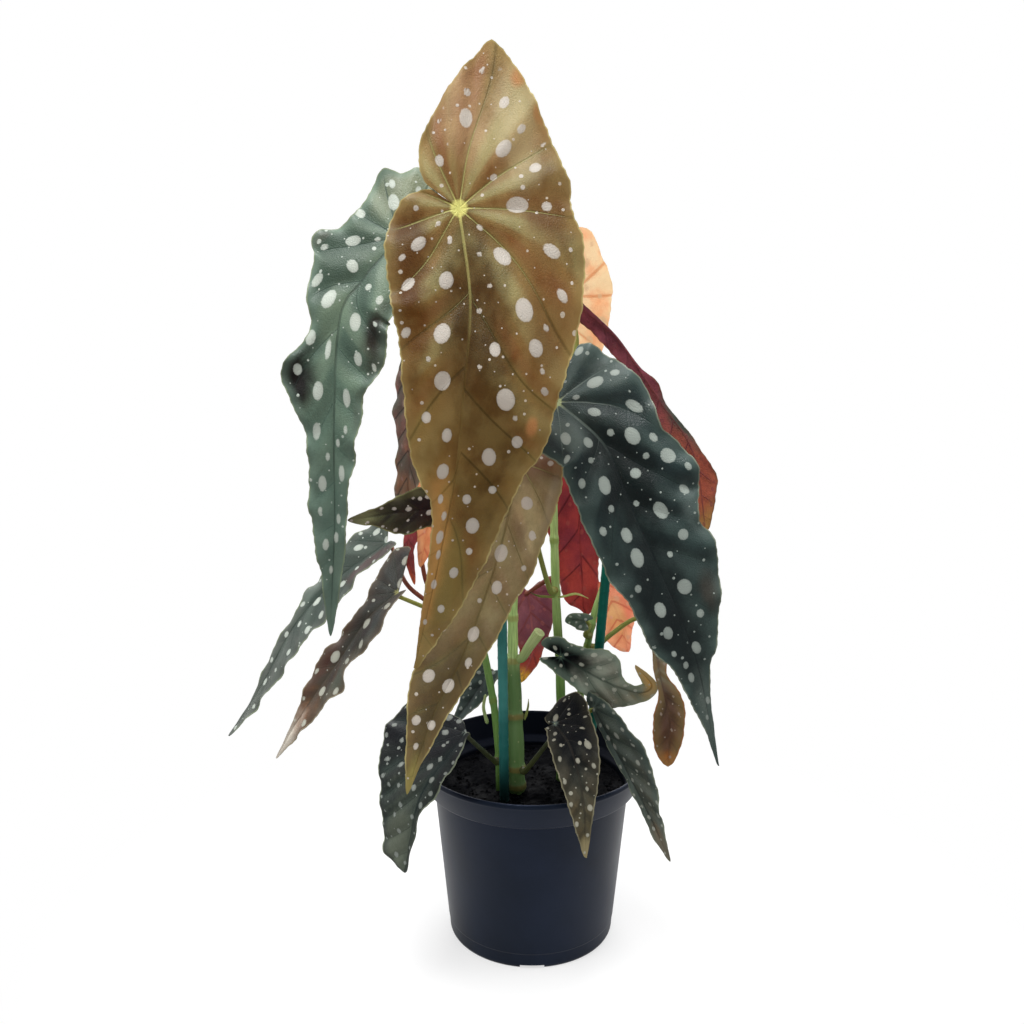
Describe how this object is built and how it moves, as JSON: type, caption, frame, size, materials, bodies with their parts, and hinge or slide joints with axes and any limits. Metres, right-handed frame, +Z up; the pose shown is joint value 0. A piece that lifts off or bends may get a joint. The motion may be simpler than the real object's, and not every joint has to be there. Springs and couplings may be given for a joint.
{
  "type": "potted polka dot begonia",
  "caption": "House plant in a round nursery pot: tall canes on stakes carry long wing-shaped leaves with silver spots above and red undersides.",
  "frame": {"origin": "centre of the flat underside of the pot", "axes": "+Z up along the pot's axis, -Y towards the plant's main face, +X to the viewer's right of that face"},
  "size_m": [0.2835, 0.1867, 0.4897],
  "materials": {
    "pot_plastic": "thin moulded blue-black polypropylene, satin",
    "soil": "damp dark peat potting mix, fine crumbs",
    "stake_plastic": "teal plastic-coated plant stake, satin gloss",
    "cane_bark": "smooth green cane with brown node rings",
    "petiole": "yellow-green to brown leaf stalk, satin",
    "stipule": "papery bract and young shoot",
    "leaf_green": "dark blue-green blade with silver spots, satin, burgundy underside",
    "leaf_silver": "grey-green blade with silver spots, satin, burgundy underside",
    "leaf_bronze": "bronze-olive young blade with silver spots, thin and translucent, pale margin",
    "leaf_red": "blade seen from its red underside, thin and translucent"
  },
  "bodies": {
    "root": {"pot": "pot_plastic", "soil": "soil", "stake_teal": "stake_plastic", "stake_dark": "stake_plastic", "cane_main": "cane_bark", "cane_centre": "cane_bark", "cane_left": "cane_bark", "cane_right": "cane_bark", "blade_front": "leaf_bronze", "petiole_front": "petiole", "blade_left": "leaf_silver", "petiole_left": "petiole", "blade_low": "leaf_bronze", "petiole_low": "petiole", "blade_right": "leaf_green", "petiole_right": "petiole", "blade_silver": "leaf_silver", "petiole_silver": "petiole", "blade_bronze": "leaf_bronze", "petiole_bronze": "petiole", "blade_small": "leaf_green", "petiole_small": "petiole", "blade_edge": "leaf_silver", "petiole_edge": "petiole", "blade_shade": "leaf_red", "petiole_shade": "petiole", "blade_peach": "leaf_red", "petiole_peach": "petiole", "blade_red": "leaf_red", "petiole_red": "petiole", "blade_pink": "leaf_red", "petiole_pink": "petiole", "blade_plum": "leaf_red", "petiole_plum": "petiole", "blade_orange": "leaf_red", "petiole_orange": "petiole", "blade_sliver": "leaf_red", "petiole_sliver": "petiole", "blade_rim_left": "leaf_green", "petiole_rim_left": "petiole", "blade_inner": "leaf_green", "petiole_inner": "petiole", "blade_rim_front": "leaf_green", "petiole_rim_front": "petiole", "blade_rim_right": "leaf_green", "petiole_rim_right": "petiole", "blade_grey": "leaf_silver", "petiole_grey": "petiole", "blade_brown": "leaf_bronze", "petiole_brown": "petiole", "blade_curl": "leaf_silver", "petiole_curl": "petiole", "stipule_left": "stipule", "stipule_right": "stipule", "stipule_back": "stipule", "stipule_low": "stipule", "cut_shoot": "stipule", "bud": "stipule"}
  },
  "joints": []
}
